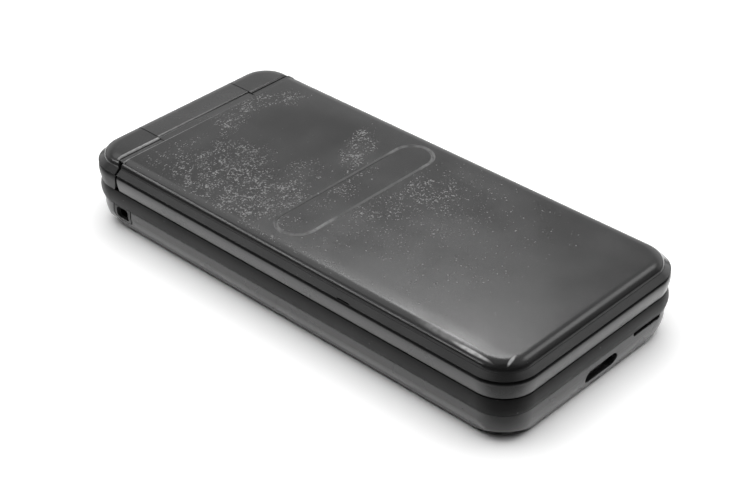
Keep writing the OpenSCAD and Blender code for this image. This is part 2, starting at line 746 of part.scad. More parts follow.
module rear_chassis() color("#26262a") {
    well = [battery_w / 2 + well_gap, battery_l / 2 + well_gap];
    difference() {
        union() {
            swept(straight(chassis_in, deck_z, deck_z + deck_t));
            difference() {
                swept(straight(chassis_in, deck_z, rim_top));
                swept(straight(chassis_in + rim_t, deck_z + deck_t, rim_top + 1));
            }
            translate([0, battery_y, 0]) difference() {
                box([-well[0] - well_t, -well[1] - well_t, battery_z],
                    [well[0] + well_t, well[1] + well_t, deck_z + 0.1]);
                box([-well[0], -well[1], 0], [well[0], well[1], deck_z]);
                box([-contact_w / 2 - free, 0, 0], [contact_w / 2 + free, battery_l, deck_z]);
            }
            intersection() {
                swept(rear_profile(rear_side_in));
                strap_outline(0);
                union() {
                    box([-half_w, 0, 0], [strap_tab_in - half_w, half_l, rear_h]);
                    box([-half_w, 0, strap_hole[1]], [chassis_in + rim_t / 2 - half_w, half_l, rear_h]);
                }
            }
            for (end = [-1, 1])
                translate([strap_bar_x, strap_y + end * strap_tab * 0.45, deck_z - strap_bar_r])
                cube([4 * strap_bar_r, strap_bar_r, 3 * strap_bar_r], center = true);
            translate([strap_bar_x, strap_y, deck_z - 1.3 * strap_bar_r]) rotate([90, 0, 0])
                cylinder(r = strap_bar_r, h = strap_tab * 0.9, center = true);
        }
        translate([-half_w + 1.5, strap_y, (strap_hole[0] + strap_hole[1]) / 2]) rotate([90, 0, 90])
            linear_extrude(height = 4, center = true) rounded(strap_w, strap_hole[1] - strap_hole[0], 0.7);
        box([1.8 - half_w, strap_y - strap_w / 2 - 0.3, deck_z],
            [5.8 - half_w, strap_y + strap_w / 2 + 0.3, rim_top + 1]);
        slab(shield_a, 0.3, deck_z - 1, deck_z + 1);
        slab(shield_b, 0.3, deck_z - 1, deck_z + 1);
        mirrored() for (p = base_screw_xy) translate([p[0], p[1], deck_z - 1])
            cylinder(r = screw_r + free, h = 3);
    }
}

module main_board() color("darkgreen") {
    box([-board_half, board_front, board_z], [board_half, board_rear, board_z + board_t]);
    box([-board_nose, 4 - half_l, board_z], [board_nose, board_front + 1, board_z + board_t]);
    box([-harness_drop - 1.2, board_rear - 1, board_z],
        [-harness_drop + harness_r, axis_y + 0.4, board_z + board_t]);
}

module board_shields() color("lightgray") {
    slab(shield_a, 0, shield_z, board_z - touch);
    slab(shield_b, 0, shield_z, board_z - touch);
}

// Middles of all keys, used for their openings and domes
function number_xy(col, row) = [col * col_pitch, call_y - row * row_pitch];
function soft_xy(side, row) = [side * soft_x, soft_y[row]];

module key_openings() {
    grown = 2 * key_fit;
    for (col = [-1 : 1]) for (row = [0 : rows - 1]) translate(concat(number_xy(col, row), face_z - 1))
        linear_extrude(height = 4) rounded(key_w + grown, key_d + grown, key_corner + key_fit);
    for (side = [-1, 1]) for (row = [0, 1]) translate(concat(soft_xy(side, row), face_z - 1))
        linear_extrude(height = 4) rounded(soft_w + grown, soft_d + grown, key_corner + key_fit);
    translate([0, ring_y, face_z - 1]) cylinder(r = ring_r + key_fit, h = 4);
}

module key(xy, w, d) color("#3a3a3d") translate(concat(xy, key_flange_z)) {
    linear_extrude(height = key_top - key_flange_z) rounded(w, d, key_corner);
    linear_extrude(height = face_z - air - key_flange_z)
        rounded(w + 2 * flange_w, d + 2 * flange_w, key_corner + flange_w);
}

module number_key(col, row) key(number_xy(col, row), key_w, key_d);

module soft_key(side, row) key(soft_xy(side, row), soft_w, soft_d);

// Tilting ring with one pair of pivots along Y towards the case and one along X under the navigation ring
module nav_pad() color("#2a2a2c") translate([0, ring_y, pad_z]) {
    difference() {
        cylinder(r = pad_r, h = pad_t);
        translate([0, 0, -1]) cylinder(r = ok_r + 0.5, h = 3);
    }
    for (turn = [0, 180]) rotate(turn) translate([0, 0, pivot_r]) {
        translate([ring_r - free - ring_pivot_l, 0, 0]) rotate([0, 90, 0])
            cylinder(r = pivot_r, h = ring_pivot_l);
        translate([0, pad_r - case_pivot_l, 0]) rotate([-90, 0, 0])
            cylinder(r = pivot_r, h = case_pivot_l);
    }
}

module nav_ring() color("#3a3a3d") translate([0, ring_y, ring_z]) difference() {
    cylinder(r = ring_r, h = key_top - ring_z);
    translate([0, 0, -1]) cylinder(r = ok_r + 0.4, h = 4);
}

module nav_center() color("#4a4a4d") translate([0, ring_y, key_flange_z])
    cylinder(r = ok_r, h = key_top - key_flange_z);

module dome() cylinder(r = 2, h = dome_t);

module key_domes() color("gold") translate([0, 0, dome_z + touch / 2]) {
    for (col = [-1 : 1]) for (row = [0 : rows - 1]) translate(number_xy(col, row)) dome();
    for (side = [-1, 1]) for (row = [0, 1]) translate(soft_xy(side, row)) dome();
    translate([0, ring_y]) dome();
    for (turn = [0 : 90 : 270])
        translate([0, ring_y]) rotate(turn) translate([(ring_r + ok_r) / 2, 0]) dome();
}

module key_mat() color("#5a5a5c") {
    box([-board_half, keypad_low, mat_z], [board_half, ring_y + pad_r, mat_z + mat_t]);
}

module microphone() color("silver") {
    translate([0, mic_y, dome_z + touch]) cylinder(r = mic_r, h = face_z - dome_z - 2 * touch);
}

module usb_board() color("darkgreen") {
    translate([usb_x - usb_board_w / 2, usb_board_y, usb_top + touch])
        cube([usb_board_w, usb_board_l, under_deck - usb_top - touch]);
}

module usb_socket() {
    shell_w = usb_w + 2 * usb_shell;
    shell_h = usb_h + 2 * usb_shell;
    color("silver") translate([usb_x, usb_front, usb_z]) rotate([-90, 0, 0]) difference() {
        pill(shell_w, shell_h / 2, shell_h / 2, usb_l);
        translate([0, 0, -1]) pill(usb_w, usb_h / 2, usb_h / 2, usb_l - 0.4 + 1);
    }
    color("#151515") translate([usb_x - tongue[0] / 2, usb_front + 0.9, usb_z - tongue[1] / 2])
        cube([tongue[0], usb_l - 1.1, tongue[1]]);
}

module loudspeaker() color("#303030") {
    translate(concat(speaker_xy, under_deck - speaker_size[2])) linear_extrude(height = speaker_size[2])
        rounded(speaker_size[0], speaker_size[1], 2);
}

module camera_module() color("#222222") {
    half = camera_size / 2;
    translate([camera_xy[0], camera_xy[1], 0]) {
        box([-half, -half, camera_body_z], [half, half, under_deck]);
        translate([0, 0, rear_floor + 2 * free]) cylinder(r = lens_r, h = camera_body_z - rear_floor);
    }
}

module vibration_motor() color("silver") {
    translate([motor_x, camera_xy[1] - camera_size / 2, under_deck - motor_r]) rotate([-90, 0, 0])
        cylinder(r = motor_r, h = motor_l);
}

module battery() color("#3d4044") {
    translate([-battery_w / 2, battery_y - battery_l / 2, battery_z])
        cube([battery_w, battery_l, battery_t]);
}

module battery_contacts() color("gold") {
    start = battery_y + battery_l / 2;
    box([-contact_w / 2, start + free, battery_z + 1],
        [contact_w / 2, start + well_gap + well_t + free, under_deck]);
}

module card_socket() color("silver") {
    translate([card_x, card_y, under_deck - card_size[2]]) cube(card_size);
}

module antenna() color("#b08d57") {
    translate([antenna_x, antenna_y, under_deck - antenna_t])
        cube([antenna_w, antenna_l, antenna_t]);
}

module base_screws() color("silver") {
    mirrored() for (p = base_screw_xy) translate([p[0], p[1], 0])
        screw(deck_z - head_h - touch, face_z - 0.2);
}

module rear_cover() color("#343436") {
    usb_open = usb_h / 2 + usb_clear;
    difference() {
        rear_body(rear_profile(rear_side_in), rear_profile(rear_end_in));
        rear_body(rear_inside(rear_side_in), rear_inside(rear_end_in));
        translate([usb_x, -half_l - 1, usb_z]) rotate([-90, 0, 0])
            pill(usb_w + 2 * (usb_shell + usb_clear), usb_open, usb_open, 6);
        translate([nail_x, -half_l - 1, rear_h - nail_r - nail_rim]) rotate([-90, 0, 0])
            pill(nail_l, nail_r, nail_r, 4);
        strap_outline(strap_tab_gap);
        translate(concat(camera_xy, -1)) cylinder(r = camera_glass_r + free, h = 1.5);
        translate(concat(camera_xy, -1)) cylinder(r = lens_r + 0.4, h = 4);
        for (k = [-2 : 2]) translate([speaker_xy[0], speaker_xy[1] + sound_pitch * k, -1])
            pill(sound_slot[0], sound_slot[1] / 2, sound_slot[1] / 2, 4);
    }
}

module camera_window() color("#0c0c10") {
    translate(concat(camera_xy, 0.5 - touch - camera_glass_t))
        cylinder(r = camera_glass_r, h = camera_glass_t);
}

lid_cover();
status_window();
lid_frame();
display_window();
display_panel();
display_bracket();
lid_board();
status_panel();
earpiece();
lid_magnet();
lid_bumpers();
lid_screws();
hinge_sleeve();
hinge_cam_shaft();
harness_lid();
keypad_case();
hinge_cap(-1);  // hinge_cap_left
hinge_cap(1);  // hinge_cap_right
hinge_cam_case();
harness_base();
rear_chassis();
main_board();
board_shields();
key_domes();
key_mat();
microphone();
usb_board();
usb_socket();
loudspeaker();
camera_module();
vibration_motor();
battery();
battery_contacts();
card_socket();
antenna();
base_screws();
rear_cover();
camera_window();
number_key(-1, 0);  // key_call
number_key(0, 0);  // key_clear
number_key(1, 0);  // key_end
number_key(-1, 1);  // key_1
number_key(0, 1);  // key_2
number_key(1, 1);  // key_3
number_key(-1, 2);  // key_4
number_key(0, 2);  // key_5
number_key(1, 2);  // key_6
number_key(-1, 3);  // key_7
number_key(0, 3);  // key_8
number_key(1, 3);  // key_9
number_key(-1, 4);  // key_star
number_key(0, 4);  // key_0
number_key(1, 4);  // key_hash
soft_key(-1, 0);  // key_menu
soft_key(-1, 1);  // key_mail
soft_key(1, 0);  // key_camera
soft_key(1, 1);  // key_web
nav_pad();
nav_ring();
nav_center();
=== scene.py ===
import json
import math

import bpy
from mathutils import Matrix, Vector


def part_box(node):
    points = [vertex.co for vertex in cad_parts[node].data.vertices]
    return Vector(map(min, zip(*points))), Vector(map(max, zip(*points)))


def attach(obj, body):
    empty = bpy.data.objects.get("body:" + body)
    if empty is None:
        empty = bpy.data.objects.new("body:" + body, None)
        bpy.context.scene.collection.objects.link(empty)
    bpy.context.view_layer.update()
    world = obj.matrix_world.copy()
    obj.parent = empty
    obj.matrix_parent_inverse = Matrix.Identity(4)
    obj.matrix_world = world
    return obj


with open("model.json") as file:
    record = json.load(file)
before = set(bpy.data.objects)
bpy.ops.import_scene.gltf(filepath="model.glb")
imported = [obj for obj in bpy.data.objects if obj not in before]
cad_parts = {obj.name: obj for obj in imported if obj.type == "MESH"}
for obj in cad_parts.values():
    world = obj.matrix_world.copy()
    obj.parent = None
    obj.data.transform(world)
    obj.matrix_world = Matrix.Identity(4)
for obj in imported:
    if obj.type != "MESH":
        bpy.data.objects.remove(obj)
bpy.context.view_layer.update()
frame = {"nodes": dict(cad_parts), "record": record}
nodes = frame["nodes"]
MM = 0.001

# Places on the phone, in millimetres. The ridge is the parting between lid cover and lid frame.
# The shading of the hinge starts a little in front of its caps.
HINGE_LEAD = 0.487
WALL_RISE = 1.05
WINDOW_FLANGE = 0.8
lid_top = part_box("lid_cover")[1].z / MM
cap_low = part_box("hinge_cap_left")[0] / MM
ridge = cap_low.z
wall_foot = ridge + WALL_RISE
hinge_front = cap_low.y - HINGE_LEAD
case_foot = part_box("keypad_case")[0].z / MM
window_low, window_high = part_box("status_window")
window_middle = (window_low + window_high) / 2 / MM
window_half = (window_high - window_low) / 2 / MM


class Nodes:
    """A node tree filled by short calls. A value is a number, a colour or another node's socket."""

    def __init__(self, tree):
        self.tree = tree

    def node(self, kind, **options):
        made = self.tree.nodes.new(kind)
        for key, value in options.items():
            setattr(made, key, value)
        return made

    def feed(self, socket, value):
        if isinstance(value, bpy.types.NodeSocket):
            self.tree.links.new(value, socket)
        elif isinstance(value, (int, float)) and hasattr(socket.default_value, "__len__"):
            socket.default_value = [value] * 3 + [1] * (len(socket.default_value) - 3)
        else:
            socket.default_value = value

    def vector(self, operation, a, b=None, scale=None):
        made = self.node("ShaderNodeVectorMath", operation=operation)
        self.feed(made.inputs[0], a)
        if b is not None:
            self.feed(made.inputs[1], b)
        if scale is not None:
            self.feed(made.inputs["Scale"], scale)
        return made.outputs["Value" if operation in ("LENGTH", "DOT_PRODUCT") else "Vector"]

    def math(self, operation, a, b=0.0):
        made = self.node("ShaderNodeMath", operation=operation)
        self.feed(made.inputs[0], a)
        self.feed(made.inputs[1], b)
        return made.outputs[0]

    def joined(self, operation, *values):
        """Several values joined by one operation, from left to right."""
        total = values[0]
        for more in values[1:]:
            total = self.math(operation, total, more)
        return total

    def step(self, value, low, high, to_low=0.0, to_high=1.0):
        """Smooth step of a value from to_low at low to to_high at high."""
        made = self.node("ShaderNodeMapRange", interpolation_type="SMOOTHSTEP")
        for name, entry in (("Value", value), ("From Min", low), ("From Max", high),
                            ("To Min", to_low), ("To Max", to_high)):
            self.feed(made.inputs[name], entry)
        return made.outputs[0]

    def split(self, place):
        """X, Y and Z of a place or direction."""
        made = self.node("ShaderNodeSeparateXYZ")
        self.feed(made.inputs[0], place)
        return made.outputs


class Shader(Nodes):
    """Node tree of one material. Lengths are in millimetres of the phone's own frame."""

    def __init__(self, name):
        self.material = bpy.data.materials.new(name)
        self.material.use_nodes = True
        super().__init__(self.material.node_tree)
        self.tree.nodes.clear()
        self.bsdf = self.node("ShaderNodeBsdfPrincipled")
        out = self.node("ShaderNodeOutputMaterial")
        self.tree.links.new(self.bsdf.outputs[0], out.inputs[0])
        place = self.node("ShaderNodeTexCoord").outputs["Object"]
        self.mm = self.vector("SCALE", place, scale=1 / MM)

    def mix(self, share, a, b):
        made = self.node("ShaderNodeMix", data_type="RGBA")
        self.feed(made.inputs[0], share)
        self.feed(made.inputs[6], a)
        self.feed(made.inputs[7], b)
        return made.outputs[2]

    def noise(self, per_mm, detail=2.0, rough=0.5, at=None, colour=False):
        made = self.node("ShaderNodeTexNoise")
        self.feed(made.inputs["Vector"], at or self.mm)
        made.inputs["Scale"].default_value = per_mm
        made.inputs["Detail"].default_value = detail
        made.inputs["Roughness"].default_value = rough
        return made.outputs["Color" if colour else "Fac"]

    def stretched(self, x, y, z):
        return self.vector("MULTIPLY", self.mm, (x, y, z))

    def shifted(self, amount, per_mm, detail=2.0):
        """Coordinates pushed about by noise, for ragged outlines."""
        push = self.vector("SUBTRACT", self.noise(per_mm, detail, colour=True), (0.5, 0.5, 0.5))
        return self.vector("ADD", self.mm, self.vector("SCALE", push, scale=amount))

    def spot(self, at, x, y, rx, ry, turn=0.0, edge=0.45):
        """One inside an ellipse seen from above, falling to zero round its edge."""
        flat = self.node("ShaderNodeMapping", vector_type="TEXTURE")
        self.feed(flat.inputs["Vector"], self.vector("MULTIPLY", at, (1, 1, 0)))
        flat.inputs["Location"].default_value = (x, y, 0)
        flat.inputs["Rotation"].default_value = (0, 0, math.radians(turn))
        flat.inputs["Scale"].default_value = (rx, ry, 1)
        return self.step(self.vector("LENGTH", flat.outputs[0]), 1 + edge, 1 - edge)

    def band(self, value, low, high, soft):
        """One between low and high, falling to zero over the soft width outside them."""
        return self.math("MULTIPLY", self.step(value, low - soft, low), self.step(value, high + soft, high))

    def round_bar(self, x, y, run, radius):
        """Distance from the outline of a round-ended bar that lies along X, seen from above."""
        place = self.split(self.mm)
        along = self.math("SUBTRACT", place["X"], x)
        held = self.math("MINIMUM", self.math("MAXIMUM", along, -run), run)
        flat = self.node("ShaderNodeCombineXYZ")
        self.feed(flat.inputs[0], self.math("SUBTRACT", along, held))
        self.feed(flat.inputs[1], self.math("SUBTRACT", place["Y"], y))
        return self.math("ABSOLUTE", self.math("SUBTRACT", self.vector("LENGTH", flat.outputs[0]), radius))

    def specks(self, density, per_mm, size, flat=True):
        """Ragged flecks, one per cell where the cell's own number is under the density."""
        cell = self.node("ShaderNodeTexVoronoi", voronoi_dimensions="2D" if flat else "3D")
        self.feed(cell.inputs["Vector"], self.shifted(0.45, 3.2))
        cell.inputs["Scale"].default_value = per_mm
        parts = self.node("ShaderNodeSeparateColor")
        self.feed(parts.inputs[0], cell.outputs["Color"])
        there = self.math("LESS_THAN", parts.outputs[0], density)
        reach = self.step(parts.outputs[1], 0.0, 1.0, size * 0.35, size)
        shape = self.step(cell.outputs["Distance"], reach, self.math("MULTIPLY", reach, 0.55))
        strength = self.step(parts.outputs[2], 0.0, 1.0, 0.25, 1.0)
        return self.joined("MULTIPLY", there, shape, strength)

    def surface(self, colour, rough, metal=0.0, coat=0.0, specular=0.5):
        self.feed(self.bsdf.inputs["Base Color"], colour)
        self.feed(self.bsdf.inputs["Roughness"], rough)
        self.feed(self.bsdf.inputs["Metallic"], metal)
        self.feed(self.bsdf.inputs["Coat Weight"], coat)
        self.feed(self.bsdf.inputs["Specular IOR Level"], specular)

    def relief(self, height, depth, soft_edge=0.0):
        """Bump from a height in millimetres of depth, over edges rounded by soft_edge."""
        bump = self.node("ShaderNodeBump")
        bump.inputs["Distance"].default_value = depth * MM
        bump.inputs["Strength"].default_value = 1.0
        self.feed(bump.inputs["Height"], height)
        if soft_edge:
            bevel = self.node("ShaderNodeBevel", samples=4)
            bevel.inputs["Radius"].default_value = soft_edge * MM
            self.feed(bump.inputs["Normal"], bevel.outputs[0])
        self.feed(self.bsdf.inputs["Normal"], bump.outputs[0])


class SatinPaint(Shader):
    """Black satin paint with orange peel and hairlines, on which marks of wear, painted highlights and
    painted shade are laid one after another.
    """

    FLECK_GREY = 0.17
    DUST_GREY = 0.3
    # Grey of the painted shade in the parting groove
    GROOVE_SHADE_GREY = 0.006
    # Grey of the painted highlight on the status window's rim
    RIM_HIGHLIGHT_GREY = 0.16
    PEEL_DEPTH = 0.012
    # Softness and fade of the painted highlights at the hinge
    HINGE_LINE_SOFT = 0.12
    HINGE_LINE_FADE = (16, -20)
    CROWN_START = 19.0
    CROWN_FALL = 0.42

    def __init__(self, name, grey, rough, specular=0.5):
        super().__init__(name)
        self.specular = specular
        self.place = self.split(self.mm)
        self.ragged = self.shifted(7.0, 0.16, 3.0)
        # Patchy mask that breaks up the painted highlights on the hinge edges, the window's rim and the near
        # corner
        self.highlight_breakup = self.step(self.noise(0.9, 3.0), 0.3, 0.6, 0.6, 1.0)
        cloud = self.noise(0.09, 3.0)
        peel = self.noise(7.0, 3.0, 0.6)
        hair = self.noise(1.1, 4.0, 0.7, at=self.stretched(0.35, 2.4, 1.0))
        self.colour = self.mix(self.step(cloud, 0.35, 0.7), grey * 0.92, grey * 1.1)
        self.mark(grey * 1.5, self.step(peel, 0.55, 0.85))
        self.rough = self.step(cloud, 0.3, 0.7, rough - 0.03, rough + 0.03)
        self.rough = self.math("ADD", self.rough, self.step(hair, 0.62, 0.75, 0.0, 0.05))
        self.height = self.math("MULTIPLY", peel, 0.35)

    def mark(self, grey, *shares):
        """Lays a grey on the paint by the product of the shares."""
        self.colour = self.mix(self.joined("MULTIPLY", *shares), self.colour, grey)

    def near_top(self, start, full):
        """Zero at start under the lid's top, one at full under it and above."""
        return self.step(self.place["Z"], lid_top - start, lid_top - full)

    def past_hinge_front(self):
        return self.step(self.place["Y"], hinge_front, hinge_front + 0.05)

    def flecks(self, flecks):
        """Pale flecks where the paint is through: lighter, rougher and a little deeper."""
        self.mark(self.FLECK_GREY, flecks)
        self.rough = self.math("ADD", self.rough, self.math("MULTIPLY", flecks, 0.25))
        self.height = self.math("ADD", self.height, self.math("MULTIPLY", flecks, -0.8))

    def scuffs(self, share=0.02):
        """A few flecks all over."""
        self.flecks(self.specks(share, 2.1, 0.3, flat=False))

    def wear(self, patches):
        """Rubbed areas of the top: grain over a bound that falls with the density, and single flecks."""
        amounts = [self.math("MULTIPLY", self.spot(self.ragged, *patch), amount) for patch, amount in patches]
        density = self.math("MULTIPLY", self.joined("MAXIMUM", *amounts), self.near_top(0.4, 0.05))
        cluster = self.step(self.noise(0.5), 0.3, 0.65, 0.45, 1.15)
        bound = self.math("SUBTRACT", 0.745, self.joined("MULTIPLY", density, cluster, 0.3))
        grain = self.step(self.math("SUBTRACT", self.noise(2.6, 2.0, 0.6), bound), 0.0, 0.1)
        strength = self.step(self.noise(1.3, 1.0), 0.3, 0.65, 0.3, 1.0)
        single = self.specks(self.math("MULTIPLY", density, 0.3), 1.6, 0.32)
        self.flecks(self.math("MAXIMUM", self.math("MULTIPLY", grain, strength), single))

    def hinge_highlight(self, low, high, grey):
        """A painted highlight along an edge, from low to high behind the hinge's front, which fades towards
        +X.
        """
        across = self.step(self.place["X"], *self.HINGE_LINE_FADE, 0.05, 1.0)
        stripe = self.band(self.place["Y"], hinge_front + low, hinge_front + high, self.HINGE_LINE_SOFT)
        self.mark(grey, stripe, across, self.highlight_breakup, self.near_top(0.5, 0.3))

    def window_rim_highlight(self):
        """A painted highlight on the rim of the status window, brightest in two places."""
        run = window_half.x - window_half.y
        rim = self.round_bar(window_middle.x, window_middle.y, run, window_half.y - WINDOW_FLANGE)
        palest = self.joined("MAXIMUM", *[self.spot(self.mm, *place) for place in RIM_HIGHLIGHT_ENDS])
        self.mark(self.RIM_HIGHLIGHT_GREY, self.step(rim, 0.55, 0.3), self.highlight_breakup, self.step(palest, 0, 1, 0.12, 1.0),
                  self.near_top(0.5, 0.4))

    def glint(self, place, grey):
        """A painted highlight, given as an ellipse seen from above."""
        self.mark(grey, self.spot(self.mm, *place), self.highlight_breakup)

    def dust(self, share):
        self.mark(self.DUST_GREY, self.specks(share, 0.55, 0.07, flat=False))

    def unworn(self, place):
        """An area without haze, which shines less."""
        share = self.spot(self.ragged, *place)
        self.specular = self.step(share, 0, 1, self.specular, self.specular * 0.78)

    def steep_wall(self, foot):
        """Less shine on the steep foot of the edge round and more on the flare under it."""
        flare = self.step(self.place["Z"], foot - 0.1, foot, 1.5, 0.45)
        shine = self.math("ADD", flare, self.step(self.place["Z"], foot + 0.3, foot + 0.8, 0.0, 0.55))
        shine = self.step(self.past_hinge_front(), 0, 1, shine, 1.0)
        self.specular = self.math("MULTIPLY", self.specular, shine)

    def parting(self, dark, unshaded):
        """Painted shade in the parting groove, dark at the first height and gone by the second, in front of
        the hinge.
        """
        share = self.math("MAXIMUM", self.step(self.place["Z"], dark, unshaded), self.past_hinge_front())
        self.colour = self.mix(share, self.GROOVE_SHADE_GREY, self.colour)
        self.specular = self.step(share, 0.0, 1.0, 0.1, self.specular)

    def crown(self):
        """The top falls off a little towards its long sides."""
        beyond = self.math("SUBTRACT", self.math("ABSOLUTE", self.place["X"]), self.CROWN_START)
        out = self.math("MAXIMUM", beyond, 0)
        self.height = self.math("SUBTRACT", self.height, self.joined("MULTIPLY", out, out, self.CROWN_FALL))

    def done(self, edge=0.04):
        self.surface(self.colour, self.rough, specular=self.specular)
        self.relief(self.height, self.PEEL_DEPTH, edge)
        return self.material


# Places of the lid seen from above: x, y, half width, half length and, where it isn't 0, the turn in degrees.
# Each place of wear comes with the density of its flecks, and each painted highlight at the near corner with
# its grey.
LID_WEAR = [
    ((-14.5, 25.0, 11.0, 16.0), 0.72),
    ((-14.0, 14.0, 11.0, 6.5), 0.72),
    ((-6.0, 30.0, 4.5, 8.0), 0.65),
    ((-15.0, 40.0, 9.0, 4.0), 0.5),
    ((17.0, 39.5, 4.0, 3.6), 0.6),
    ((9.0, 43.5, 8.5, 2.6, -8.0), 0.65),
    ((1.0, 40.5, 6.5, 3.0, 30.0), 0.65),
    ((12.0, 14.6, 10.5, 2.8, 27.0), 0.75),
    ((-1.5, 16.0, 4.0, 4.5), 0.5),
    ((0.0, 27.0, 1.6, 1.6), 0.5),
    ((9.0, -8.0, 6.5, 7.0), 0.62),
    ((-1.0, -5.0, 7.0, 6.0), 0.55),
    ((4.0, -12.0, 18.0, 13.0), 0.42),
    ((-12.0, -4.0, 9.0, 6.0), 0.35),
    ((0.0, -26.0, 20.0, 12.0), 0.22),
    ((-22.3, 12.0, 1.6, 30.0), 0.55),
]
WINDOW_WEAR = [
    ((1.0, 6.6, 7.0, 1.8), 0.6),
    ((-5.0, 4.5, 8.0, 2.5), 0.45),
    ((-17.0, 5.0, 3.5, 3.0), 0.45),
]
# Painted highlights on the lid's rim at the near corner
CORNER_GLINTS = [
    ((-22.9, -40.5, 0.7, 6.2), 0.12),
    ((-23.35, -46.0, 0.32, 3.6), 0.42),
    ((-20.7, -52.75, 1.1, 0.28, 10.0), 0.42),
]
# Where the painted highlight on the status window's rim is brightest
RIM_HIGHLIGHT_ENDS = [(-17, 1.5, 7, 6), (19, 5, 5, 6)]
UNWORN = (5, 27, 15, 13)

# Painted highlights along the edges at the hinge: from and to behind the hinge's front, grey
COVER_HIGHLIGHTS = [(-0.32, -0.05, 0.18), (0.3, 1.2, 0.04), (1.4, 1.9, 0.2)]
BARREL_HIGHLIGHT = (1.8, 2.35, 0.17)

LID_GREY, LID_ROUGH, LID_DUST = 0.009, 0.22, 0.008
BAND_GREY, BAND_ROUGH, BAND_DUST = 0.014, 0.26, 0.03


def cover_paint(name):
    """Lid cover and hinge caps."""
    paint = SatinPaint(name, LID_GREY, LID_ROUGH)
    paint.wear(LID_WEAR)
    # Painted highlights along the hinge edges of the cover and caps
    for line in COVER_HIGHLIGHTS:
        paint.hinge_highlight(*line)
    paint.window_rim_highlight()
    # Painted highlights at the near corner
    for place, grey in CORNER_GLINTS:
        paint.glint(place, grey)
    paint.dust(LID_DUST)
    paint.unworn(UNWORN)
    paint.steep_wall(wall_foot)
    # Painted shade at the foot of the cover's lip, over the parting groove
    paint.parting(ridge + 0.02, ridge + 0.25)
    paint.crown()
    return paint.done()


def window_paint(name):
    """Status window in the lid."""
    paint = SatinPaint(name, LID_GREY, LID_ROUGH)
    paint.wear(WINDOW_WEAR)
    paint.window_rim_highlight()
    paint.dust(LID_DUST)
    return paint.done()


def frame_paint(name):
    """Lower band of the lid, with the hinge barrel."""
    paint = SatinPaint(name, BAND_GREY, BAND_ROUGH)
    paint.scuffs()
    # Painted highlight along the barrel's front edge
    paint.hinge_highlight(*BARREL_HIGHLIGHT)
    paint.dust(BAND_DUST)
    # Painted shade on the frame's top under the lid's lip
    paint.parting(ridge - 0.35, ridge - 0.9)
    return paint.done()


def case_paint(name):
    """Upper band of the base, duller towards its foot."""
    paint = SatinPaint(name, 0.004, 0.45)
    paint.scuffs()
    paint.dust(0.05)
    paint.specular = paint.step(paint.place["Z"], case_foot + 0.07, case_foot + 3.57, 0.09, 0.22)
    return paint.done()


def rear_paint(name):
    """Rear cover, with softer edges."""
    paint = SatinPaint(name, BAND_GREY, BAND_ROUGH, specular=0.58)
    paint.scuffs()
    paint.dust(BAND_DUST)
    return paint.done(edge=0.35)


def moulded(name, grey, rough, grain=5.0, depth=0.02, coat=0.0):
    """Moulded plastic or rubber with spark-eroded grain."""
    s = Shader(name)
    cloud = s.noise(0.2)
    fine = s.noise(grain, 2.0, 0.6)
    colour = s.mix(cloud, grey * 0.85, grey * 1.2)
    s.surface(colour, s.step(fine, 0.3, 0.7, rough - 0.05, rough + 0.06), coat=coat)
    s.relief(fine, depth, 0.08)
    return s.material


def shades(colour, dark, light):
    """A darker and a lighter shade of a colour."""
    return [[c * k for c in colour] + [1] for k in (dark, light)]


def metal(name, colour, rough, along=(0.2, 6.0, 6.0)):
    """Rolled, plated or turned metal with fine lines along one direction."""
    s = Shader(name)
    lines = s.noise(1.6, 3.0, 0.6, at=s.stretched(*along))
    stain = s.noise(0.25, 3.0)
    roughness = s.step(lines, 0.3, 0.7, rough - 0.08, rough + 0.1)
    s.surface(s.mix(stain, *shades(colour, 0.8, 1.05)), roughness, metal=1.0)
    s.relief(lines, 0.008)
    return s.material


def board(name):
    """Green solder mask with copper tracks under it and small pads."""
    s = Shader(name)
    cell = s.node("ShaderNodeTexVoronoi", distance="MANHATTAN")
    s.feed(cell.inputs["Vector"], s.mm)
    cell.inputs["Scale"].default_value = 0.6
    tracks = s.step(s.math("FRACT", s.math("MULTIPLY", cell.outputs["Distance"], 6.0)), 0.55, 0.65)
    mask = s.mix(tracks, (0.008, 0.05, 0.022, 1), (0.016, 0.085, 0.035, 1))
    pads = s.specks(0.25, 0.5, 0.28)
    colour = s.mix(pads, mask, (0.6, 0.5, 0.25, 1))
    s.surface(colour, s.step(s.noise(2.0), 0.3, 0.7, 0.25, 0.4), metal=pads)
    s.relief(tracks, 0.02)
    return s.material


PANEL_BORDER = 0.15
ROWS_PER_MM = 5.0


def glass(name, panel=None):
    """Black glass with faint smears and, over a panel's box, a slightly lighter area with rows of cells."""
    s = Shader(name)
    smear = s.noise(0.12, 4.0, 0.65, at=s.stretched(1.0, 0.4, 1.0))
    colour = (0.006, 0.006, 0.007, 1)
    if panel:
        low, high = (corner / MM for corner in panel)
        place = s.split(s.mm)
        sides = []
        for axis in (0, 1):
            sides.append(s.step(place[axis], low[axis], low[axis] + PANEL_BORDER))
            sides.append(s.step(place[axis], high[axis], high[axis] - PANEL_BORDER))
        rows = s.math("FRACT", s.math("MULTIPLY", place["Y"], ROWS_PER_MM))
        lit = s.mix(s.step(rows, 0.7, 0.9), (0.011, 0.012, 0.014, 1), (0.015, 0.016, 0.019, 1))
        colour = s.mix(s.joined("MULTIPLY", *sides), colour, lit)
    s.surface(colour, s.step(smear, 0.4, 0.7, 0.05, 0.16), coat=0.3)
    s.relief(s.noise(0.6), 0.002)
    return s.material


def ink(name, colour):
    """Printed sign on a key: ink with a slightly broken edge."""
    s = Shader(name)
    grain = s.noise(9.0, 3.0, 0.6)
    s.surface(s.mix(grain, *shades(colour, 0.75, 1.05)), s.step(grain, 0.3, 0.7, 0.4, 0.55))
    s.relief(grain, 0.01)
    return s.material


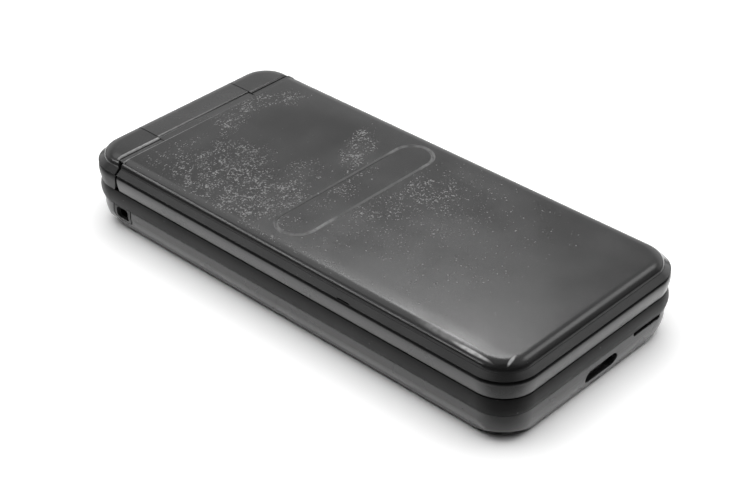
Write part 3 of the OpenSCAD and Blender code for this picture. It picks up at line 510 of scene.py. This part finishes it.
FINISH = {
    "cover_black": cover_paint("cover_black"),
    "window_black": window_paint("window_black"),
    "frame_grey": frame_paint("frame_grey"),
    "case_grey": case_paint("case_grey"),
    "rear_grey": rear_paint("rear_grey"),
    "display_glass": glass("display_glass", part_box("display_panel")),
    "display_dark": glass("display_dark"),
    "sheet_steel": metal("sheet_steel", (0.55, 0.55, 0.56), 0.32),
    "screw_steel": metal("screw_steel", (0.5, 0.5, 0.5), 0.3, along=(4.0, 4.0, 0.5)),
    "contact_gold": metal("contact_gold", (0.83, 0.62, 0.27), 0.25),
    "board_green": board("board_green"),
    "inner_plastic": moulded("inner_plastic", 0.02, 0.5),
    "black_rubber": moulded("black_rubber", 0.015, 0.7, grain=8.0, depth=0.03),
    "key_silicone": moulded("key_silicone", 0.12, 0.65, grain=6.0),
    "battery_wrap": moulded("battery_wrap", 0.045, 0.45, grain=3.0, depth=0.01, coat=0.1),
    "key_metal": moulded("key_metal", 0.11, 0.3, grain=9.0, depth=0.006, coat=0.2),
}
for slot in ("key_black", "key_call_green", "key_end_red"):
    FINISH[slot] = moulded(slot, 0.022, 0.33, grain=9.0, depth=0.008, coat=0.15)

# Dress of the CAD nodes

SHARP_EDGE = 32
MERGE_DISTANCE = 2e-6
KEY_ROUND = 0.25
KEY_ROUND_FROM = 40


def smooth_group():
    """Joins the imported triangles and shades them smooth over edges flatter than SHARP_EDGE."""
    group = bpy.data.node_groups.new("smooth_faces", "GeometryNodeTree")
    for way in ("INPUT", "OUTPUT"):
        group.interface.new_socket("Geometry", in_out=way, socket_type="NodeSocketGeometry")
    start = group.nodes.new("NodeGroupInput")
    end = group.nodes.new("NodeGroupOutput")
    merge = group.nodes.new("GeometryNodeMergeByDistance")
    merge.inputs["Distance"].default_value = MERGE_DISTANCE
    angle = group.nodes.new("GeometryNodeInputMeshEdgeAngle")
    flatter = group.nodes.new("FunctionNodeCompare")
    flatter.operation = "LESS_THAN"
    flatter.inputs[1].default_value = math.radians(SHARP_EDGE)
    faces = group.nodes.new("GeometryNodeSetShadeSmooth")
    edges = group.nodes.new("GeometryNodeSetShadeSmooth")
    faces.domain, edges.domain = "FACE", "EDGE"
    link = group.links.new
    link(start.outputs[0], merge.inputs["Geometry"])
    link(merge.outputs[0], faces.inputs["Geometry"])
    link(faces.outputs[0], edges.inputs["Geometry"])
    link(angle.outputs["Unsigned Angle"], flatter.inputs[0])
    link(flatter.outputs[0], edges.inputs["Shade Smooth"])
    link(edges.outputs[0], end.inputs[0])
    return group


def is_key(name):
    if name in ("key_domes", "key_mat"):
        return False
    return name.startswith("key_") or name in ("nav_ring", "nav_center")


smooth_faces = smooth_group()
slot_of = {subpart["node"]: subpart["material_slot"] for subpart in frame["record"]["subparts"]}
for name, piece in nodes.items():
    piece.data.materials.clear()
    piece.data.materials.append(FINISH[slot_of[name]])
    piece.modifiers.new("smooth_faces", "NODES").node_group = smooth_faces
    if is_key(name):
        bevel = piece.modifiers.new("rounded_edge", "BEVEL")
        bevel.width = KEY_ROUND * MM
        bevel.segments = 3
        bevel.limit_method = "ANGLE"
        bevel.angle_limit = math.radians(KEY_ROUND_FROM)
    even = piece.modifiers.new("even_normals", "WEIGHTED_NORMAL")
    even.keep_sharp = True
    even.weight = 100

# Signs of the keys: flat ink just over the key's top

SIGN_LIFT = 0.02
FIGURE_SIZE = 6.0
STAR_SIZE = 6.5
HASH_SIZE = 5.2
ARROW_IN = 3.2


def sign_place(node):
    """Middle of a key's top, in metres, with the lift of the ink."""
    low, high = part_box(node)
    return Vector(((low.x + high.x) / 2, (low.y + high.y) / 2, high.z + SIGN_LIFT * MM))


def put_on(name, mesh, node, material):
    """The mesh of a sign, as a piece that rides on its key."""
    mesh.name = name
    mesh.materials.clear()
    mesh.materials.append(material)
    mesh.transform(Matrix.Translation(sign_place(node)))
    sign = bpy.data.objects.new(name, mesh)
    bpy.context.scene.collection.objects.link(sign)
    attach(sign, node)


def flat_sign(name, shapes, node, material):
    """Sign of flat outlines, each a list of points in millimetres from the key's middle."""
    verts, faces = [], []
    for shape in shapes:
        faces.append(list(range(len(verts), len(verts) + len(shape))))
        verts += [(x * MM, y * MM, 0) for x, y in shape]
    mesh = bpy.data.meshes.new(name)
    mesh.from_pydata(verts, [], faces)
    put_on(name, mesh, node, material)


def figure(name, text, node, size):
    """One printed figure."""
    curve = bpy.data.curves.new(name + "_outline", "FONT")
    curve.body = text
    curve.size = size * MM
    curve.align_x = "CENTER"
    curve.align_y = "CENTER"
    source = bpy.data.objects.new(name + "_outline", curve)
    bpy.context.scene.collection.objects.link(source)
    bpy.context.view_layer.update()
    mesh = bpy.data.meshes.new_from_object(source.evaluated_get(bpy.context.evaluated_depsgraph_get()))
    bpy.data.objects.remove(source)
    put_on(name, mesh, node, white_ink)


def bar(x0, y0, x1, y1, width):
    """Outline of a straight stroke."""
    run = Vector((x1 - x0, y1 - y0)).normalized()
    nx, ny = -run.y * width / 2, run.x * width / 2
    return [(x0 + nx, y0 + ny), (x0 - nx, y0 - ny), (x1 - nx, y1 - ny), (x1 + nx, y1 + ny)]


def arc(x, y, r, start, end, width, steps=20):
    """Outlines of a stroke along a circle, one four-sided piece a step."""
    pieces = []
    inner, outer = r - width / 2, r + width / 2
    for k in range(steps):
        a, b = (math.radians(start + (end - start) * t / steps) for t in (k, k + 1))
        corners = ((inner, a), (outer, a), (outer, b), (inner, b))
        pieces.append([(x + q * math.cos(t), y + q * math.sin(t)) for q, t in corners])
    return pieces


def oblong(w, d, width):
    """Outlines of a four-sided frame."""
    x, y = w / 2, d / 2
    ends = ((-x, -y, x, -y), (-x, y, x, y), (-x, -y, -x, y), (x, -y, x, y))
    return [bar(*end, width) for end in ends]


def handset(turn):
    """A plain handset: a bow with two ends."""
    shapes = arc(0, -1.6, 3.0, 35, 145, 0.75)
    shapes += [bar(side * 2.0, -0.9, side * 3.0, 0.3, 1.3) for side in (1, -1)]
    c, s = math.cos(math.radians(turn)), math.sin(math.radians(turn))
    return [[(x * c - y * s, x * s + y * c) for x, y in shape] for shape in shapes]


def back_arrow():
    return [bar(-2, 0, 2, 0, 0.5), bar(-2, 0, -0.7, 1.2, 0.5), bar(-2, 0, -0.7, -1.2, 0.5)]


def menu_lines():
    return [bar(-1.7, y, 1.7, y, 0.45) for y in (-1.1, 0, 1.1)]


def envelope():
    return oblong(4.2, 2.8, 0.35) + [bar(side * 2.1, 1.4, 0, -0.2, 0.35) for side in (-1, 1)]


def camera_sign():
    return oblong(4.2, 2.8, 0.35) + arc(0, 0, 0.85, 0, 360, 0.35)


def globe():
    return arc(0, 0, 1.7, 0, 360, 0.35, 28) + [bar(-1.7, 0, 1.7, 0, 0.3), bar(0, -1.7, 0, 1.7, 0.3)]


white_ink = ink("white_ink", (0.62, 0.63, 0.64))
green_ink = ink("green_ink", (0.05, 0.5, 0.14))
red_ink = ink("red_ink", (0.6, 0.05, 0.04))
for text in "1234567890":
    figure("figure_" + text, text, "key_" + text, FIGURE_SIZE)
figure("sign_star", "*", "key_star", STAR_SIZE)
figure("sign_hash", "#", "key_hash", HASH_SIZE)
FLAT_SIGNS = [
    ("call", handset(40), green_ink),
    ("end", handset(0), red_ink),
    ("clear", back_arrow(), white_ink),
    ("menu", menu_lines(), white_ink),
    ("mail", envelope(), white_ink),
    ("camera", camera_sign(), white_ink),
    ("web", globe(), white_ink),
]
for sign, shapes, colour in FLAT_SIGNS:
    flat_sign("sign_" + sign, shapes, "key_" + sign, colour)
ring_low, ring_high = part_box("nav_ring")
arrow_r = (ring_high.x - ring_low.x) / 2 / MM - ARROW_IN
for k, (x, y) in enumerate(((0, 1), (1, 0), (0, -1), (-1, 0))):
    tip, foot = arrow_r + 0.8, arrow_r - 0.5
    arrow = [(x * tip, y * tip), (x * foot - y, y * foot + x), (x * foot + y, y * foot - x)]
    flat_sign(f"sign_arrow_{k}", [arrow], "nav_ring", white_ink)

# Floor, light and camera

# The floor in metres, and in millimetres where its painted brightness in reflections falls off and where a
# painted shadow dims it in reflections
FLOOR_HALF = 3.0
FLOOR_DROP = 0.0005
BRIGHT_TO, DARK_FROM = 90, 150
DIM_SPOT = (-42, -72, 24, 24)


def floor_material():
    """White paper with a little tone in its weave, brighter to the camera than as a light on the phone, and
    in reflections with a painted pool of light near the phone and a painted shadow in front of it.
    """
    s = Shader("white_paper")
    fibre = s.noise(0.8, 4.0, 0.6)
    shade = s.step(fibre, 0.3, 0.7, 0.985, 1.0)
    ray = s.node("ShaderNodeLightPath").outputs
    looked_at = s.math("MAXIMUM", ray["Is Camera Ray"], ray["Is Transmission Ray"])
    tone = s.mix(looked_at, s.math("MULTIPLY", shade, 0.8), s.math("MULTIPLY", shade, 1.25))
    # Painted light in reflections: the floor is mirrored brighter near the phone and falls off outward, and a
    # painted shadow dims it in front of the near corner
    fall = s.step(s.vector("LENGTH", s.mm), BRIGHT_TO, DARK_FROM, 1.7, 0.3)
    dim = s.step(s.spot(s.mm, *DIM_SPOT), 0, 1, 1, 0.35)
    mirrored = s.joined("MULTIPLY", shade, fall, dim)
    s.surface(s.mix(ray["Is Glossy Ray"], tone, mirrored), 0.9, specular=0.0)
    s.relief(fibre, 0.02)
    return s.material


floor_mesh = bpy.data.meshes.new("floor")
floor_corners = [(x * FLOOR_HALF, y * FLOOR_HALF, 0) for x, y in ((-1, -1), (1, -1), (1, 1), (-1, 1))]
floor_mesh.from_pydata(floor_corners, [], [(0, 1, 2, 3)])
floor_mesh.materials.append(floor_material())
floor = bpy.data.objects.new("floor", floor_mesh)
floor.location.z = -FLOOR_DROP
bpy.context.scene.collection.objects.link(floor)


def softbox(name, turn, rise, distance, width, depth, watts, shine=True):
    """Area light at a bearing from +X and a height angle, facing the phone, for shine or for shade."""
    light = bpy.data.lights.new(name, "AREA")
    light.shape = "RECTANGLE"
    light.size, light.size_y = width, depth
    light.energy = watts
    lamp = bpy.data.objects.new(name, light)
    a, e = math.radians(turn), math.radians(rise)
    out = Vector((math.cos(a) * math.cos(e), math.sin(a) * math.cos(e), math.sin(e)))
    lamp.location = out * distance
    lamp.rotation_mode = "QUATERNION"
    lamp.rotation_quaternion = out.to_track_quat("Z", "Y")
    lamp.visible_glossy = shine
    lamp.visible_diffuse = not shine
    bpy.context.scene.collection.objects.link(lamp)


softbox("tent", turn=0, rise=90, distance=1.0, width=1.6, depth=1.6, watts=19.0, shine=False)
softbox("back_softbox", turn=42.5, rise=46.7, distance=0.9, width=0.2, depth=0.2, watts=0.92)
softbox("left_softbox", turn=138, rise=30.5, distance=0.8, width=0.35, depth=0.08, watts=0.62)
softbox("right_softbox", turn=-18, rise=49, distance=0.8, width=0.3, depth=0.2, watts=0.5)
softbox("high_softbox", turn=82, rise=52, distance=0.8, width=0.6, depth=0.3, watts=0.65)

SWEEP_TURN = 44


def studio_world():
    """A white sweep behind the phone and a room that is dark towards the camera, for the shine alone."""
    world = bpy.data.worlds.new("studio")
    bpy.context.scene.world = world
    world.use_nodes = True
    w = Nodes(world.node_tree)
    towards = w.node("ShaderNodeTexCoord").outputs["Generated"]
    height = w.split(towards)["Z"]
    level = w.vector("NORMALIZE", w.vector("MULTIPLY", towards, (1, 1, 0)))
    turn = math.radians(SWEEP_TURN)
    facing = w.vector("DOT_PRODUCT", level, (math.cos(turn), math.sin(turn), 0))
    low_sweep = w.step(height, 0.43, 0.55, 0.6, 0.0)
    high_sweep = w.step(height, 0.56, 0.63, 0.27, 0.45)
    high_sweep = w.math("MULTIPLY", high_sweep, w.step(height, 0.66, 0.8, 1.0, 0.0))
    sweep = w.math("MULTIPLY", w.math("ADD", low_sweep, high_sweep), w.step(facing, -0.1, 0.6))
    room = w.math("MULTIPLY", w.step(height, 0.52, 0.68, 0.22, 0.55), w.step(facing, -0.9, -0.1, 0.1, 1.0))
    background = world.node_tree.nodes["Background"]
    w.feed(background.inputs["Color"], 1.0)
    w.feed(background.inputs["Strength"], w.math("ADD", sweep, room))
    world.cycles_visibility.diffuse = False


studio_world()

# Camera fitted to the photograph: angles in radians, lengths in millimetres
AZIMUTH, ELEVATION, ROLL = -0.8051, 0.6019, -0.0143
DISTANCE = 343.294
AIM = Vector((-3.35, -4.2404, 8.0))
SENSOR, LENS = 36, 84.909

camera_data = bpy.data.cameras.new("camera")
camera_data.sensor_width = SENSOR
camera_data.lens = LENS
camera_data.clip_start = 0.01
camera = bpy.data.objects.new("camera", camera_data)
level_out = math.cos(ELEVATION)
back = Vector((math.sin(AZIMUTH) * level_out, -math.cos(AZIMUTH) * level_out, math.sin(ELEVATION)))
right = Vector((math.cos(AZIMUTH), math.sin(AZIMUTH), 0))
up = back.cross(right)
across = right * math.cos(ROLL) + up * math.sin(ROLL)
above = up * math.cos(ROLL) - right * math.sin(ROLL)
stand = Matrix((across, above, back)).transposed().to_4x4()
stand.translation = (AIM + back * DISTANCE) * MM
camera.matrix_world = stand
bpy.context.scene.collection.objects.link(camera)
bpy.context.scene.camera = camera
bpy.context.scene.view_settings.view_transform = "Standard"
